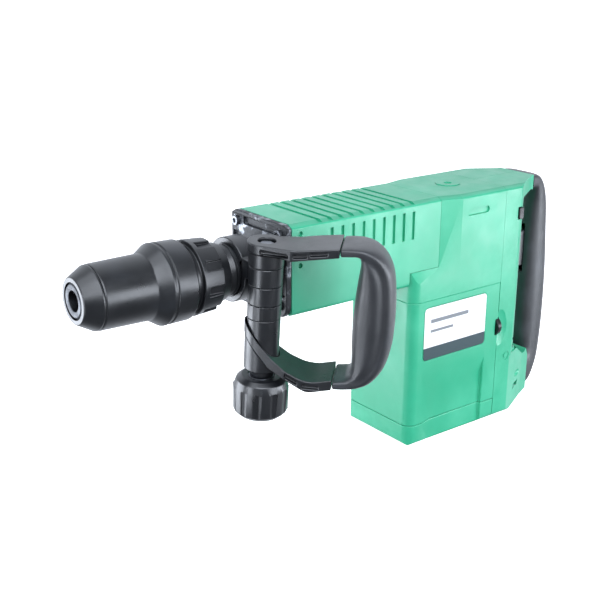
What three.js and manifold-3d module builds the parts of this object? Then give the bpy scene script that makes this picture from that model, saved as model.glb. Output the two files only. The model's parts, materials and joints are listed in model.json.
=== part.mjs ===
// Demolition hammer with an upright motor, a D-shaped rear handle and a swivelling D-shaped side handle.
//
// Millimetres, +Z up, the tool pointing to -X. The origin is the middle of the flat foot under the motor.
// Inside the "tool" group x is the distance behind the nose and z the height above the tool's axis.

import * as THREE from 'three';
import { mergeVertices } from 'three/addons/utils/BufferGeometryUtils.js';
import Module from 'manifold-3d';

const wasm = await Module();
wasm.setup();

// ---------------------------------------------------------------- driving dimensions

const FOOT_DROP = 220; // tool axis down to the foot
const FOOT_MID = 409; // nose back to the middle of the foot
const GAP = 0.3; // between pieces that meet

const SHANK_R = 9.2; // bore for the chisel's shank
const HOLDER_R = 16; // tool holder, outside
const SLEEVE_FRONT = 16.6;
const SLEEVE_BACK = 103;
const SLEEVE_TRAVEL = 6;
const RING_FRONT = SLEEVE_BACK + SLEEVE_TRAVEL + 0.5;
const RING_BACK = 142;
const NECK_R = 24.4;
const PLATE_FRONT = 190; // front plate
const PLATE_BACK = 196;

const BARREL_HALF = 44.25; // barrel cover, half its width
const BARREL_BOTTOM = -43;
const TOP = 44.4; // top of the whole housing
const SHOULDER = [5.8, 3.2]; // chamfer along the top edges, across and down
const BARREL_BACK = 384;
const FLARE_BACK = 409; // where the body reaches its full width
const BODY_HALF = 50.25; // motor body, half its width
const BODY_FRONT = 344.5;
const BODY_BACK = 505;
const REAR_SEAM = 474; // clamshell seam in front of the rear handle
const TAPER_START = 499; // behind it the rear handle gets narrower
const LEDGE_IN = -28; // body's ledge under the barrel, inner and outer edge
const LEDGE_OUT = -40.5;
const MID_SEAM = -60;
const CAP_SEAM = -197;
const WALL = 3.4;

const GRIP_FRONT = 555; // rear grip
const GRIP_BACK = 595;
const GRIP_HALF = 19.5;
const COVER_TOP_START = 545; // where the soft cover starts on the upper and the lower arm
const COVER_LOW_START = 558;
const CORE_HALF = 9.7; // stiff core inside the soft cover

const COLUMN_X = 163; // side handle's column
const COLUMN_OFFSET = 49; // from the tool's axis
const COLUMN_R = 15.5;
const SWIVEL = THREE.MathUtils.degToRad(4.5); // side handle's rest angle round the tool
const D_SWING = THREE.MathUtils.degToRad(45); // D-handle's rest angle away from the barrel
const BOLT_R = 5;
const HEAD_LOW = 34.6; // underside of the clamp bolt's head
const BOSS_TOP = 19; // heights of the seams along the column
const BOSS_UNDER = 1.6;
const DISC_TOP = -16.2;
const TUBE_TOP = -30.2;
const ARM_TOP = 42;
const ARM_UNDER = 33;
const OPENING_TOP = 28.5; // rear hand opening
const ARM_STEP = -150; // below it the rear handle's arm is wider
const TOP_SEAM = 66.5; // side grip's seams, out from the column
const LOW_SEAM = 67;
const SLEEVE_END = -80.5; // lower end of the D-handle's sleeve round the column
const SLEEVE_R = COLUMN_R + 2;
const STRAP_HALF = 21.5; // half the D-handle's width
const KNOB_R = 26;
const KNOB_TOP = -88.6;
const KNOB_BOTTOM = -128;
const KNOB_SHOULDER = -100; // top of the flutes

const GEAR_MODULE = 1.8;
const PINION_TEETH = 8;
const CRANK_TEETH = 40;
const MOTOR_X = 432;
const CRANK_X = MOTOR_X - GEAR_MODULE * (PINION_TEETH + CRANK_TEETH) / 2;
const CRANK_THROW = 14;
const PISTON_PIN_X = CRANK_X + CRANK_THROW - 85;
const CYLINDER_R = 22.4;

// ---------------------------------------------------------------- solids

// A closed geometry as a solid with its faces pointing out.
function solid(geometry) {
  const bare = geometry.clone();
  bare.deleteAttribute('normal');
  bare.deleteAttribute('uv');
  const merged = mergeVertices(bare, 1e-4);
  const at = merged.attributes.position.array;
  const index = merged.index.array;
  const triangles = [];
  let volume = 0;
  const [a, b, c] = [new THREE.Vector3(), new THREE.Vector3(), new THREE.Vector3()];
  for (let i = 0; i < index.length; i += 3) {
    const [p, q, r] = index.slice(i, i + 3);
    if (p === q || q === r || r === p) continue;
    triangles.push([p, q, r]);
    volume += a.fromArray(at, 3 * p).dot(b.fromArray(at, 3 * q).cross(c.fromArray(at, 3 * r)));
  }
  const facing = volume < 0 ? triangles.map(([p, q, r]) => [p, r, q]) : triangles;
  return new wasm.Manifold(new wasm.Mesh({
    numProp: 3,
    vertProperties: Float32Array.from(at),
    triVerts: Uint32Array.from(facing.flat()),
  }));
}

const join = (first, ...others) => others.reduce((sum, next) => sum.add(next), first);
const cut = (first, ...others) => others.reduce((rest, next) => rest.subtract(next), first);
const both = (first, ...others) => others.reduce((rest, next) => rest.intersect(next), first);
const range = (count) => Array.from({ length: count }, (_, i) => i);

function box(x0, x1, y0, y1, z0, z1) {
  const geometry = new THREE.BoxGeometry(x1 - x0, y1 - y0, z1 - z0);
  return solid(geometry.translate((x0 + x1) / 2, (y0 + y1) / 2, (z0 + z1) / 2));
}

// A rod along x, y or z, from low to high, round the line through (u, v) in the other two axes.
function rod(axis, low, high, radius, { u = 0, v = 0, sides = 24 } = {}) {
  const geometry = new THREE.CylinderGeometry(radius, radius, high - low, sides);
  geometry.translate(0, (low + high) / 2, 0);
  if (axis === 'x') return solid(geometry.rotateZ(-Math.PI / 2).translate(0, u, v));
  if (axis === 'z') return solid(geometry.rotateX(Math.PI / 2).translate(u, v, 0));
  return solid(geometry.translate(u, 0, v));
}

// A profile of [along, radius] points turned round the x or the z axis.
function turned(axis, profile, sides = 32) {
  const points = [...profile, profile[0]].map(([along, radius]) => new THREE.Vector2(radius, along));
  const geometry = new THREE.LatheGeometry(points, sides);
  return solid(axis === 'x' ? geometry.rotateZ(-Math.PI / 2) : geometry.rotateX(Math.PI / 2));
}

// A closed outline of [x, y, corner radius] points.
function outline(corners, steps = 5) {
  const points = [];
  corners.forEach(([x, y, radius = 0], i) => {
    const corner = new THREE.Vector2(x, y);
    if (!radius) {
      points.push(corner);
      return;
    }
    const [bx, by] = corners.at(i - 1);
    const [ax, ay] = corners[(i + 1) % corners.length];
    const before = new THREE.Vector2(bx, by).sub(corner).normalize();
    const after = new THREE.Vector2(ax, ay).sub(corner).normalize();
    const half = Math.acos(THREE.MathUtils.clamp(before.dot(after), -1, 1)) / 2;
    const reach = radius / Math.tan(half);
    const middle = before.clone().add(after).setLength(radius / Math.sin(half)).add(corner);
    const start = before.multiplyScalar(reach).add(corner).sub(middle).angle();
    const end = after.multiplyScalar(reach).add(corner).sub(middle).angle();
    const sweep = THREE.MathUtils.euclideanModulo(end - start + Math.PI, 2 * Math.PI) - Math.PI;
    for (let k = 0; k <= steps; k += 1) {
      const angle = start + sweep * k / steps;
      points.push(new THREE.Vector2(radius * Math.cos(angle), radius * Math.sin(angle)).add(middle));
    }
  });
  return new THREE.Shape(points);
}

// An outline in the other two axes, extruded along x, y or z. Outlines are (y, z), (x, z) or (x, y).
function slab(axis, shape, low, high) {
  const geometry = new THREE.ExtrudeGeometry(shape, { depth: high - low, bevelEnabled: false });
  if (axis === 'y') return solid(geometry.rotateX(Math.PI / 2).translate(0, high, 0));
  if (axis === 'z') return solid(geometry.translate(0, 0, low));
  const turn = new THREE.Matrix4().makeBasis(
    new THREE.Vector3(0, 1, 0), new THREE.Vector3(0, 0, 1), new THREE.Vector3(1, 0, 0));
  return solid(geometry.applyMatrix4(turn).translate(low, 0, 0));
}

// A rectangle (x0, x1, z0, z1) at y = near joined to another at y = far.
function wedge(near, [ax0, ax1, az0, az1], far, [bx0, bx1, bz0, bz1]) {
  const corners = [
    ax0, near, az0, ax1, near, az0, ax1, near, az1, ax0, near, az1,
    bx0, far, bz0, bx1, far, bz0, bx1, far, bz1, bx0, far, bz1,
  ];
  const faces = [0, 2, 1, 0, 3, 2, 4, 5, 6, 4, 6, 7];
  range(4).forEach((i) => {
    const next = (i + 1) % 4;
    faces.push(i, next, next + 4, i, next + 4, i + 4);
  });
  const geometry = new THREE.BufferGeometry();
  geometry.setAttribute('position', new THREE.Float32BufferAttribute(corners, 3));
  geometry.setIndex(faces);
  return solid(geometry);
}

// ---------------------------------------------------------------- materials and pieces

const finish = (color, roughness, metalness = 0) =>
  new THREE.MeshStandardMaterial({ color, roughness, metalness });

const GREEN = finish(0x8fe3bf, 0.5);
const BLACK = finish(0x2c2f32, 0.5);
const RUBBER = finish(0x44484e, 0.75);
const STEEL = finish(0xb9bcc0, 0.3, 0.9);
const BRIGHT = finish(0xd8dadc, 0.2, 1);
const ALLOY = finish(0xa2a6a8, 0.5, 0.8);
const COPPER = finish(0xb56b3c, 0.4, 0.9);
const WHITE = finish(0xf4f5f3, 0.5);
const CARBON = finish(0x26262a, 0.8);

const hammer = new THREE.Group();
const tool = new THREE.Group();
tool.position.set(-FOOT_MID, 0, FOOT_DROP);
hammer.add(tool);

const sideHandle = new THREE.Group();
sideHandle.rotation.x = SWIVEL;
tool.add(sideHandle);

const column = new THREE.Group();
column.position.set(COLUMN_X, -COLUMN_OFFSET, 0);
sideHandle.add(column);

const dHandle = new THREE.Group();
dHandle.rotation.z = -D_SWING;
column.add(dHandle);

function piece(name, shape, material, group = tool) {
  const { vertProperties, triVerts } = shape.getMesh();
  const geometry = new THREE.BufferGeometry();
  geometry.setAttribute('position', new THREE.Float32BufferAttribute(vertProperties, 3));
  geometry.setIndex(Array.from(triVerts));
  geometry.computeVertexNormals();
  const mesh = new THREE.Mesh(geometry, material);
  mesh.name = name;
  group.add(mesh);
}

// ---------------------------------------------------------------- chuck

function chuck() {
  const rollerX = [30, 48];
  const rollerReach = 13.3;
  const window = (side) => box(rollerX[0] - 1, rollerX[1] + 1, side * 8, side * 18, -4, 4);
  const holder = turned('x', [
    [0.6, SHANK_R], [0, 11], [0, 14], [1.5, HOLDER_R], [172, HOLDER_R],
    [172, 12.3], [110, 12.3], [108, SHANK_R],
  ]);
  piece('tool_holder', cut(holder, window(-1), window(1)), BRIGHT);
  for (const [name, side] of [['locking_roller_left', -1], ['locking_roller_right', 1]]) {
    piece(name, rod('x', ...rollerX, 3.5, { u: side * rollerReach, sides: 20 }), STEEL);
  }
  piece('dust_cap', turned('x', [
    [0, HOLDER_R + GAP], [0, 20], [1.2, 21.2], [15, 28.8], [SLEEVE_FRONT - GAP, 28.8],
    [SLEEVE_FRONT - GAP, HOLDER_R + GAP],
  ]), RUBBER);
  piece('locking_sleeve', turned('x', [
    [SLEEVE_FRONT, 17.4], [SLEEVE_FRONT, 29], [69, 30], [74, 32.4], [77, 35.3], [80, 37],
    [SLEEVE_BACK - 1, 36.8], [SLEEVE_BACK, 36],
    [SLEEVE_BACK, 32], [88, 32], [88, 23], [52, 23], [52, 17.4],
  ], 40), BLACK);
  piece('sleeve_spring', spring(60, 94, 19.8, 1.4, 4), STEEL);
  piece('angle_ring', angleRing(), BLACK);
}

// A compression spring round the x axis.
function spring(front, back, radius, wire, turns) {
  class Helix extends THREE.Curve {
    getPoint(t, target = new THREE.Vector3()) {
      const angle = 2 * Math.PI * turns * t;
      const along = front + wire + (back - front - 2 * wire) * t;
      return target.set(along, radius * Math.cos(angle), radius * Math.sin(angle));
    }
  }
  const section = new THREE.Shape(range(5).map((i) =>
    new THREE.Vector2(wire * Math.cos(i * 0.4 * Math.PI), wire * Math.sin(i * 0.4 * Math.PI))));
  return solid(new THREE.ExtrudeGeometry(section, { extrudePath: new Helix(), steps: turns * 14 }));
}

// The ring that sets the chisel's angle, with nine raised grips.
function angleRing() {
  const grips = 9;
  const body = turned('x', [
    [96, HOLDER_R + 0.6], [96, 31], [RING_FRONT, 31], [RING_FRONT, 35.2],
    [131, 33.8], [133, 28.6], [RING_BACK, 27.5], [RING_BACK, HOLDER_R + 0.6],
  ], 36);
  const slots = range(grips).map((i) => {
    const slot = new THREE.BoxGeometry(20, 8.5, 6).translate(RING_FRONT + 15, 0, 34.2);
    return solid(slot.rotateX(2 * Math.PI * (i + 0.5) / grips));
  });
  return cut(body, ...slots);
}

// ---------------------------------------------------------------- neck and front plate

function front() {
  const [screwY, screwZ] = [34, 34];
  const plateMiddle = (TOP + BARREL_BOTTOM) / 2;
  piece('neck_tube', turned('x', [
    [RING_BACK + 0.6, HOLDER_R + GAP], [RING_BACK + 0.6, 22], [149, NECK_R], [200, NECK_R],
    [200, 14], [174, 14], [174, HOLDER_R + GAP],
  ]), BLACK);

  const rim = outline([
    [-BARREL_HALF, BARREL_BOTTOM - 2, 12], [BARREL_HALF, BARREL_BOTTOM - 2, 12],
    ...shoulders(BARREL_HALF),
  ], 3);
  const corners = [[-1, -1], [1, -1], [1, 1], [-1, 1]].map(([y, z]) =>
    ({ u: y * screwY, v: plateMiddle + z * screwZ, sides: 12 }));
  const holes = corners.map((at) => rod('x', PLATE_FRONT - 1, PLATE_BACK + 1, 3.2, at));
  const pockets = [-1, 1].flatMap((side) => [
    box(PLATE_FRONT - 1, PLATE_FRONT + 3, side * 33, side * 41, -24, 24),
    box(PLATE_FRONT - 1, PLATE_FRONT + 3, -24, 24, side * 33, side * 40),
  ]);
  piece('front_plate', cut(slab('x', rim, PLATE_FRONT, PLATE_BACK), ...holes, ...pockets,
    rod('x', PLATE_FRONT - 1, PLATE_BACK + 1, NECK_R + GAP, { sides: 32 })), BLACK);

  corners.forEach((at, i) => {
    const head = rod('x', PLATE_FRONT - 4, PLATE_FRONT - 0.05, 4.8, at);
    const socket = rod('x', PLATE_FRONT - 5, PLATE_FRONT - 1.5, 2.4, { ...at, sides: 6 });
    piece(`plate_screw_${i + 1}`, cut(join(head, rod('x', PLATE_FRONT - 1, 208, 2.8, at)), socket), STEEL);
  });
}

// ---------------------------------------------------------------- side handle

// Everything round the column: x and y from its middle, z above the tool's axis.
function clampAndColumn() {
  const boltHole = rod('z', -130, 60, BOLT_R + GAP, { sides: 16 });
  const disc = (low, high, radius = COLUMN_R) => cut(rod('z', low, high, radius, { sides: 28 }), boltHole);

  const band = turned('x', [[-9, NECK_R + GAP], [-9, 30.6], [9, 30.6], [9, NECK_R + GAP]])
    .translate([0, COLUMN_OFFSET, 0]);
  const ear = cut(box(-9, 9, 0, COLUMN_OFFSET - 20, BOSS_UNDER, BOSS_TOP),
    rod('x', -10, 10, NECK_R + 1, { u: COLUMN_OFFSET, sides: 32 }));
  const boss = rod('z', BOSS_UNDER, BOSS_TOP, COLUMN_R, { sides: 28 });
  piece('clamp_band', cut(join(band, ear, boss), boltHole), BLACK, column);

  piece('column_spacer', disc(DISC_TOP + GAP, BOSS_UNDER - GAP), BLACK, column);
  const teeth = range(12).map((i) => solid(
    new THREE.BoxGeometry(8, 3, 1.2).translate(12.5, 0, DISC_TOP + 0.1).rotateZ(i * Math.PI / 6)));
  piece('locking_disc', cut(disc(TUBE_TOP + GAP, DISC_TOP), ...teeth), BLACK, column);
  const tubeR = COLUMN_R - 0.2;
  piece('column_tube', turned('z', [
    [KNOB_TOP + GAP, BOLT_R + GAP], [KNOB_TOP + GAP, 11], [SLEEVE_END, 13], [SLEEVE_END, tubeR],
    [TUBE_TOP, tubeR], [TUBE_TOP, BOLT_R + GAP],
  ], 28), BLACK, column);

  const shank = rod('z', -116, HEAD_LOW + 1, BOLT_R, { sides: 16 });
  piece('clamp_bolt', join(shank, rod('z', HEAD_LOW, HEAD_LOW + 5, 7, { sides: 6 })), STEEL, column);
  piece('knob_washer', cut(rod('z', KNOB_TOP - 2.3, KNOB_TOP - GAP, 12), boltHole), STEEL, column);
  piece('clamp_knob', knob(), BLACK, column);
}

function knob() {
  const flutes = 11;
  const body = turned('z', [
    [KNOB_BOTTOM, 0], [KNOB_BOTTOM, 20], [KNOB_BOTTOM + 5, KNOB_R - 0.6], [KNOB_SHOULDER, KNOB_R],
    [KNOB_TOP - 3.4, 23.5], [KNOB_TOP, 19], [KNOB_TOP, 12.4], [KNOB_TOP - 2.5, 12.4], [KNOB_TOP - 2.5, 0],
  ], 33);
  const grooves = range(flutes).map((i) => {
    const angle = 2 * Math.PI * i / flutes;
    return rod('z', KNOB_BOTTOM - 1, KNOB_SHOULDER + 1, 5, {
      u: (KNOB_R + 3.2) * Math.cos(angle), v: (KNOB_R + 3.2) * Math.sin(angle), sides: 8 });
  });
  return cut(body, rod('z', -118, -90, BOLT_R + GAP, { sides: 16 }), ...grooves);
}

// The D-handle's pieces: x is out from the column along the D, y across it.

// A strap of the D-handle from its outline seen from the side: round at the column, wide further out.
function strap(shape, low, high) {
  const end = TOP_SEAM + 8;
  const plan = outline([
    [0, -SLEEVE_R], [24, -STRAP_HALF, 8], [end, -STRAP_HALF],
    [end, STRAP_HALF], [44, STRAP_HALF, 12], [10, SLEEVE_R - 1.5],
  ], 3);
  const solids = join(slab('z', plan, low, high), rod('z', low, high, SLEEVE_R, { sides: 28 }));
  return both(solids, slab('y', shape, -30, 30));
}

// Slots in both side faces, each going in as far as the floor's distance from the middle.
function sideSlots(floor, shapes) {
  return shapes.map((corners) => outline(corners)).flatMap((shape) =>
    [slab('y', shape, -STRAP_HALF - 1, -floor), slab('y', shape, floor, STRAP_HALF + 1)]);
}

function topArm() {
  const end = TOP_SEAM - GAP;
  const shape = outline([
    [-30, ARM_TOP], [-30, ARM_UNDER], [14, ARM_UNDER], [24, 31.4, 6], [end, 39], [end, 47], [28, ARM_TOP, 20],
  ]);
  const neck = rod('z', BOSS_TOP + GAP, ARM_TOP, COLUMN_R + 0.5, { sides: 28 });
  return cut(join(neck, strap(shape, ARM_UNDER - 5, 60)),
    rod('z', 0, 60, BOLT_R + GAP, { sides: 16 }),
    rod('z', HEAD_LOW - GAP, 60, 8.2),
    ...sideSlots(SLEEVE_R - 2.5, [[[-3, 34.6], [21.5, 33.8], [21.5, 37.2], [-3, 38]]]),
    ...sideSlots(STRAP_HALF - 3.5, [
      [[26, 34.6], [38.4, 36], [38.4, 39.3], [26, 37.9]],
      [[41, 37.6], [56, 39.8], [56, 43.1], [41, 40.9]],
    ]));
}

function lowArm() {
  const end = LOW_SEAM - GAP;
  const shape = outline([
    [-19, -31], [-4, -48, 30], [8, -61.5, 40], [24, -73.5, 40], [44, -83, 30], [end, -77.5],
    [end, -87.2], [44, -92.8, 14], [8, -73.5, 12], [-4, -60, 30], [-19, -42],
  ]);
  const underStrap = outline([
    [-19, -36], [-4, -53], [8, -67], [30, -75], [30, SLEEVE_END], [-19, SLEEVE_END],
  ]);
  const tube = rod('z', SLEEVE_END, TUBE_TOP, SLEEVE_R - 0.6, { sides: 28 });
  return cut(join(strap(shape, -100, TUBE_TOP), both(tube, slab('y', underStrap, -30, 30))),
    rod('z', SLEEVE_END - 1, 0, COLUMN_R + 0.4, { sides: 28 }),
    ...sideSlots(STRAP_HALF - 3.5, [
      [[24, -76], [35.3, -82], [35.3, -86], [24, -80]],
      [[40, -84], [55.5, -84.6], [55.5, -88.4], [40, -88.6]],
    ]));
}

function sideGrip() {
  const loop = outline([
    [TOP_SEAM, 47], [88, 49.4, 20], [110, 40, 16], [117.4, 4, 60], [118.4, -26, 60], [114.5, -60, 30],
    [98, -82, 30], [LOW_SEAM, -88], [LOW_SEAM, -79], [82.5, -75.5, 4], [80, -10, 90], [84.5, 40, 4],
    [TOP_SEAM, 38.6],
  ], 6);
  const section = outline([
    [TOP_SEAM - 1, -STRAP_HALF], [100, -STRAP_HALF, 20], [121, -14, 12],
    [121, 14, 12], [100, STRAP_HALF, 20], [TOP_SEAM - 1, STRAP_HALF],
  ]);
  return both(slab('y', loop, -STRAP_HALF, STRAP_HALF), slab('z', section, -120, 60));
}

function sideHandlePieces() {
  clampAndColumn();
  piece('handle_top_arm', topArm(), BLACK, dHandle);
  piece('handle_bottom_arm', lowArm(), BLACK, dHandle);
  piece('handle_grip', sideGrip(), RUBBER, dHandle);
}

// ---------------------------------------------------------------- housing

// The top of the housing's section, from one side over the chamfered edges to the other.
const shoulders = (half) => [
  [half, TOP - SHOULDER[1], 2], [half - SHOULDER[0], TOP],
  [-half + SHOULDER[0], TOP], [-half, TOP - SHOULDER[1], 2],
];

const sideRecess = (side) => wedge(
  side * (BODY_HALF + 1), [359, 454, -230, -137.5], side * (BODY_HALF - 4), [380, 454, -230, -160]);

function barrelCover() {
  const grooves = 10;
  const [firstGroove, pitch] = [230, 12.95];
  const shell = slab('x', outline([
    [-BARREL_HALF, BARREL_BOTTOM, 4], [BARREL_HALF, BARREL_BOTTOM, 4], ...shoulders(BARREL_HALF),
  ]), PLATE_BACK + GAP, BARREL_BACK);
  const inside = slab('x', outline([
    [-39.5, -38.5, 8], [39.5, -38.5, 8], [39.5, 36], [35, 39.5], [-35, 39.5], [-39.5, 36],
  ]), PLATE_BACK, BARREL_BACK + 1);
  const cuts = range(grooves).flatMap((i) => {
    const x = firstGroove + pitch * i;
    const across = box(x - 2.2, x + 2.2, -60, 60, TOP - 2.6, TOP + 1);
    const slots = [-1, 1].map((side) => box(x - 1.8, x + 1.8, side * (BARREL_HALF - 2.4), side * 60, 7, 35.5));
    return i === 0 ? [across] : [across, ...slots];
  });
  const recesses = [-1, 1].flatMap((side) => [5, 35].map((z) =>
    rod('y', ...[side * 42, side * 46].sort((a, b) => a - b), 2.6, { u: 206, v: z, sides: 12 })));
  const underBody = box(BODY_FRONT - GAP, BARREL_BACK + 1, -60, 60, -60, LEDGE_IN);
  piece('barrel_cover', cut(shell, inside, underBody, ...cuts, ...recesses), GREEN);
}

// The piece of the upper body where the barrel's section widens to the body's.
function flareEnd() {
  const ends = [[BARREL_BACK, BARREL_HALF], [FLARE_BACK, BODY_HALF]];
  const corners = ends.flatMap(([x, half]) => [
    [-half, MID_SEAM], [half, MID_SEAM], [half, TOP - SHOULDER[1]],
    [half - SHOULDER[0], TOP], [-half + SHOULDER[0], TOP], [-half, TOP - SHOULDER[1]],
  ].flatMap(([y, z]) => [x, y, z]));
  const faces = [0, 2, 1, 0, 3, 2, 0, 4, 3, 0, 5, 4].concat([6, 7, 8, 6, 8, 9, 6, 9, 10, 6, 10, 11]);
  range(6).forEach((i) => {
    const next = (i + 1) % 6;
    faces.push(i, next, next + 6, i, next + 6, i + 6);
  });
  const geometry = new THREE.BufferGeometry();
  geometry.setAttribute('position', new THREE.Float32BufferAttribute(corners, 3));
  geometry.setIndex(faces);
  return solid(geometry);
}

// The upper body over the crank, with the ledge that the barrel cover stands on.
function gearCover() {
  const flare = outline([
    [BARREL_BACK + GAP, -BARREL_HALF], [FLARE_BACK, -BODY_HALF], [REAR_SEAM - GAP, -BODY_HALF],
    [REAR_SEAM - GAP, BODY_HALF], [FLARE_BACK, BODY_HALF], [BARREL_BACK + GAP, BARREL_HALF],
  ]);
  const upper = both(slab('z', flare, MID_SEAM, TOP), join(
    slab('x', outline([
      [-BODY_HALF, MID_SEAM], [BODY_HALF, MID_SEAM], ...shoulders(BODY_HALF),
    ]), FLARE_BACK - 0.1, REAR_SEAM),
    flareEnd(),
  ));
  const lower = both(slab('z', bodyPlan(REAR_SEAM - GAP), MID_SEAM, LEDGE_IN - GAP), slab('x', outline([
    [-BODY_HALF, MID_SEAM], [BODY_HALF, MID_SEAM], [BODY_HALF, LEDGE_OUT],
    [BARREL_HALF + 0.4, LEDGE_IN - GAP], [-BARREL_HALF - 0.4, LEDGE_IN - GAP], [-BODY_HALF, LEDGE_OUT],
  ]), BODY_FRONT, REAR_SEAM));
  const inner = BODY_HALF - WALL;
  const slot = outline([[417, 21.5, 3.4], [449, 21.5, 3.4], [449, 28.5, 3.4], [417, 28.5, 3.4]]);
  piece('gear_cover', cut(join(upper, lower),
    box(BODY_FRONT + WALL, REAR_SEAM, -inner, inner, -80, -43),
    box(BODY_FRONT + WALL, REAR_SEAM, -39.5, 39.5, -80, -20),
    box(380, REAR_SEAM, -39.5, 39.5, -80, TOP - 5.5),
    box(404, REAR_SEAM, -inner, inner, -80, TOP - 8),
    slab('y', slot, -BODY_HALF - 1, -BODY_HALF + 2),
    slab('y', slot, BODY_HALF - 2, BODY_HALF + 1),
    rod('z', 30, 60, 13.4, { u: 436, sides: 32 }),
  ), GREEN);
  const plug = rod('z', 39, TOP + 0.8, 13, { u: 436, sides: 32 });
  piece('grease_cap', cut(plug, rod('z', 43, 50, 4.6, { u: 436, sides: 6 })), GREEN);
}

const bodyPlan = (back) => outline([
  [BODY_FRONT, -BODY_HALF, 11], [back, -BODY_HALF], [back, BODY_HALF], [BODY_FRONT, BODY_HALF, 11],
]);

const DIAL = { u: -43.2, v: -111.5, sides: 24 };
const dialPocket = () => rod('x', 470.2, 477, 11.6, DIAL);

function motorHousing() {
  const inner = 44;
  const label = outline([[362, -68, 4], [453.6, -68, 4], [453.6, -126, 4], [362, -126, 4]], 3);
  piece('motor_housing', cut(
    slab('z', bodyPlan(REAR_SEAM - GAP), CAP_SEAM, MID_SEAM - GAP),
    box(BODY_FRONT + WALL, REAR_SEAM - WALL, -inner, inner, CAP_SEAM - 1, MID_SEAM),
    slab('y', label, -BODY_HALF - 1, -BODY_HALF + 0.6),
    sideRecess(-1), sideRecess(1), dialPocket(),
  ), GREEN);
  const plate = outline([[362.2, -68.2, 4], [453.4, -68.2, 4], [453.4, -125.8, 4], [362.2, -125.8, 4]], 3);
  piece('label_plate', slab('y', plate, -BODY_HALF - 0.1, -BODY_HALF + 0.5), WHITE);

  const foot = both(
    slab('z', bodyPlan(REAR_SEAM - GAP), -FOOT_DROP, CAP_SEAM - GAP),
    slab('x', outline([
      [-BODY_HALF, -FOOT_DROP, 6], [BODY_HALF, -FOOT_DROP, 6], [BODY_HALF, -190], [-BODY_HALF, -190],
    ]), 340, 480),
    slab('y', outline([
      [BODY_FRONT, -FOOT_DROP, 6], [480, -FOOT_DROP], [480, -190], [BODY_FRONT, -190],
    ]), -60, 60));
  piece('base_cap', cut(foot, sideRecess(-1), sideRecess(1),
    box(BODY_FRONT + WALL + 6, REAR_SEAM - WALL, -42, 42, -FOOT_DROP + 4, -190)), GREEN);
}

// ---------------------------------------------------------------- rear handle

const handOpening = () => slab('y', outline([
  [BODY_BACK, OPENING_TOP, 3], [BODY_BACK, -140, 6], [GRIP_FRONT, -174, 10], [GRIP_FRONT, OPENING_TOP, 12],
]), -60, 60);

const handleOuter = (low, high) => slab('y', outline([
  [REAR_SEAM, TOP], [REAR_SEAM, -FOOT_DROP], [BODY_BACK - 1, -FOOT_DROP, 4], [568, -213, 20],
  [584, -198, 12], [591, -174, 14], [GRIP_BACK, -128], [GRIP_BACK - 0.5, -80, 60], [589, -25, 60],
  [583, 16, 20], [573, 34, 14], [557, TOP, 14],
], 5), low, high);

const handleCore = (half, grow = 0) => cut(
  slab('y', outline([
    [540, 38.5 + grow], [557 + grow, 38 + grow, 8], [568 + grow, 29, 8], [577 + grow, 12, 14],
    [585.4 + grow, -24], [588 + grow, -110], [583 + grow, -174, 14], [573 + grow, -194, 12],
    [560, -205 - grow, 10], [545, -205 - grow], [545, -182 + grow], [562 - grow, -179, 5],
    [562 - grow, 33.5 - grow, 5], [540, 33.5 - grow],
  ]), -half - grow, half + grow));

const coverZone = () => slab('y', outline([
  [COVER_TOP_START, 60], [COVER_TOP_START, -150], [COVER_LOW_START, -172], [COVER_LOW_START, -230], [620, -230],
  [620, 60],
]), -60, 60);

const triggerSlot = () => box(545, 575, -8.6, 8.6, -74, -16);

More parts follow.
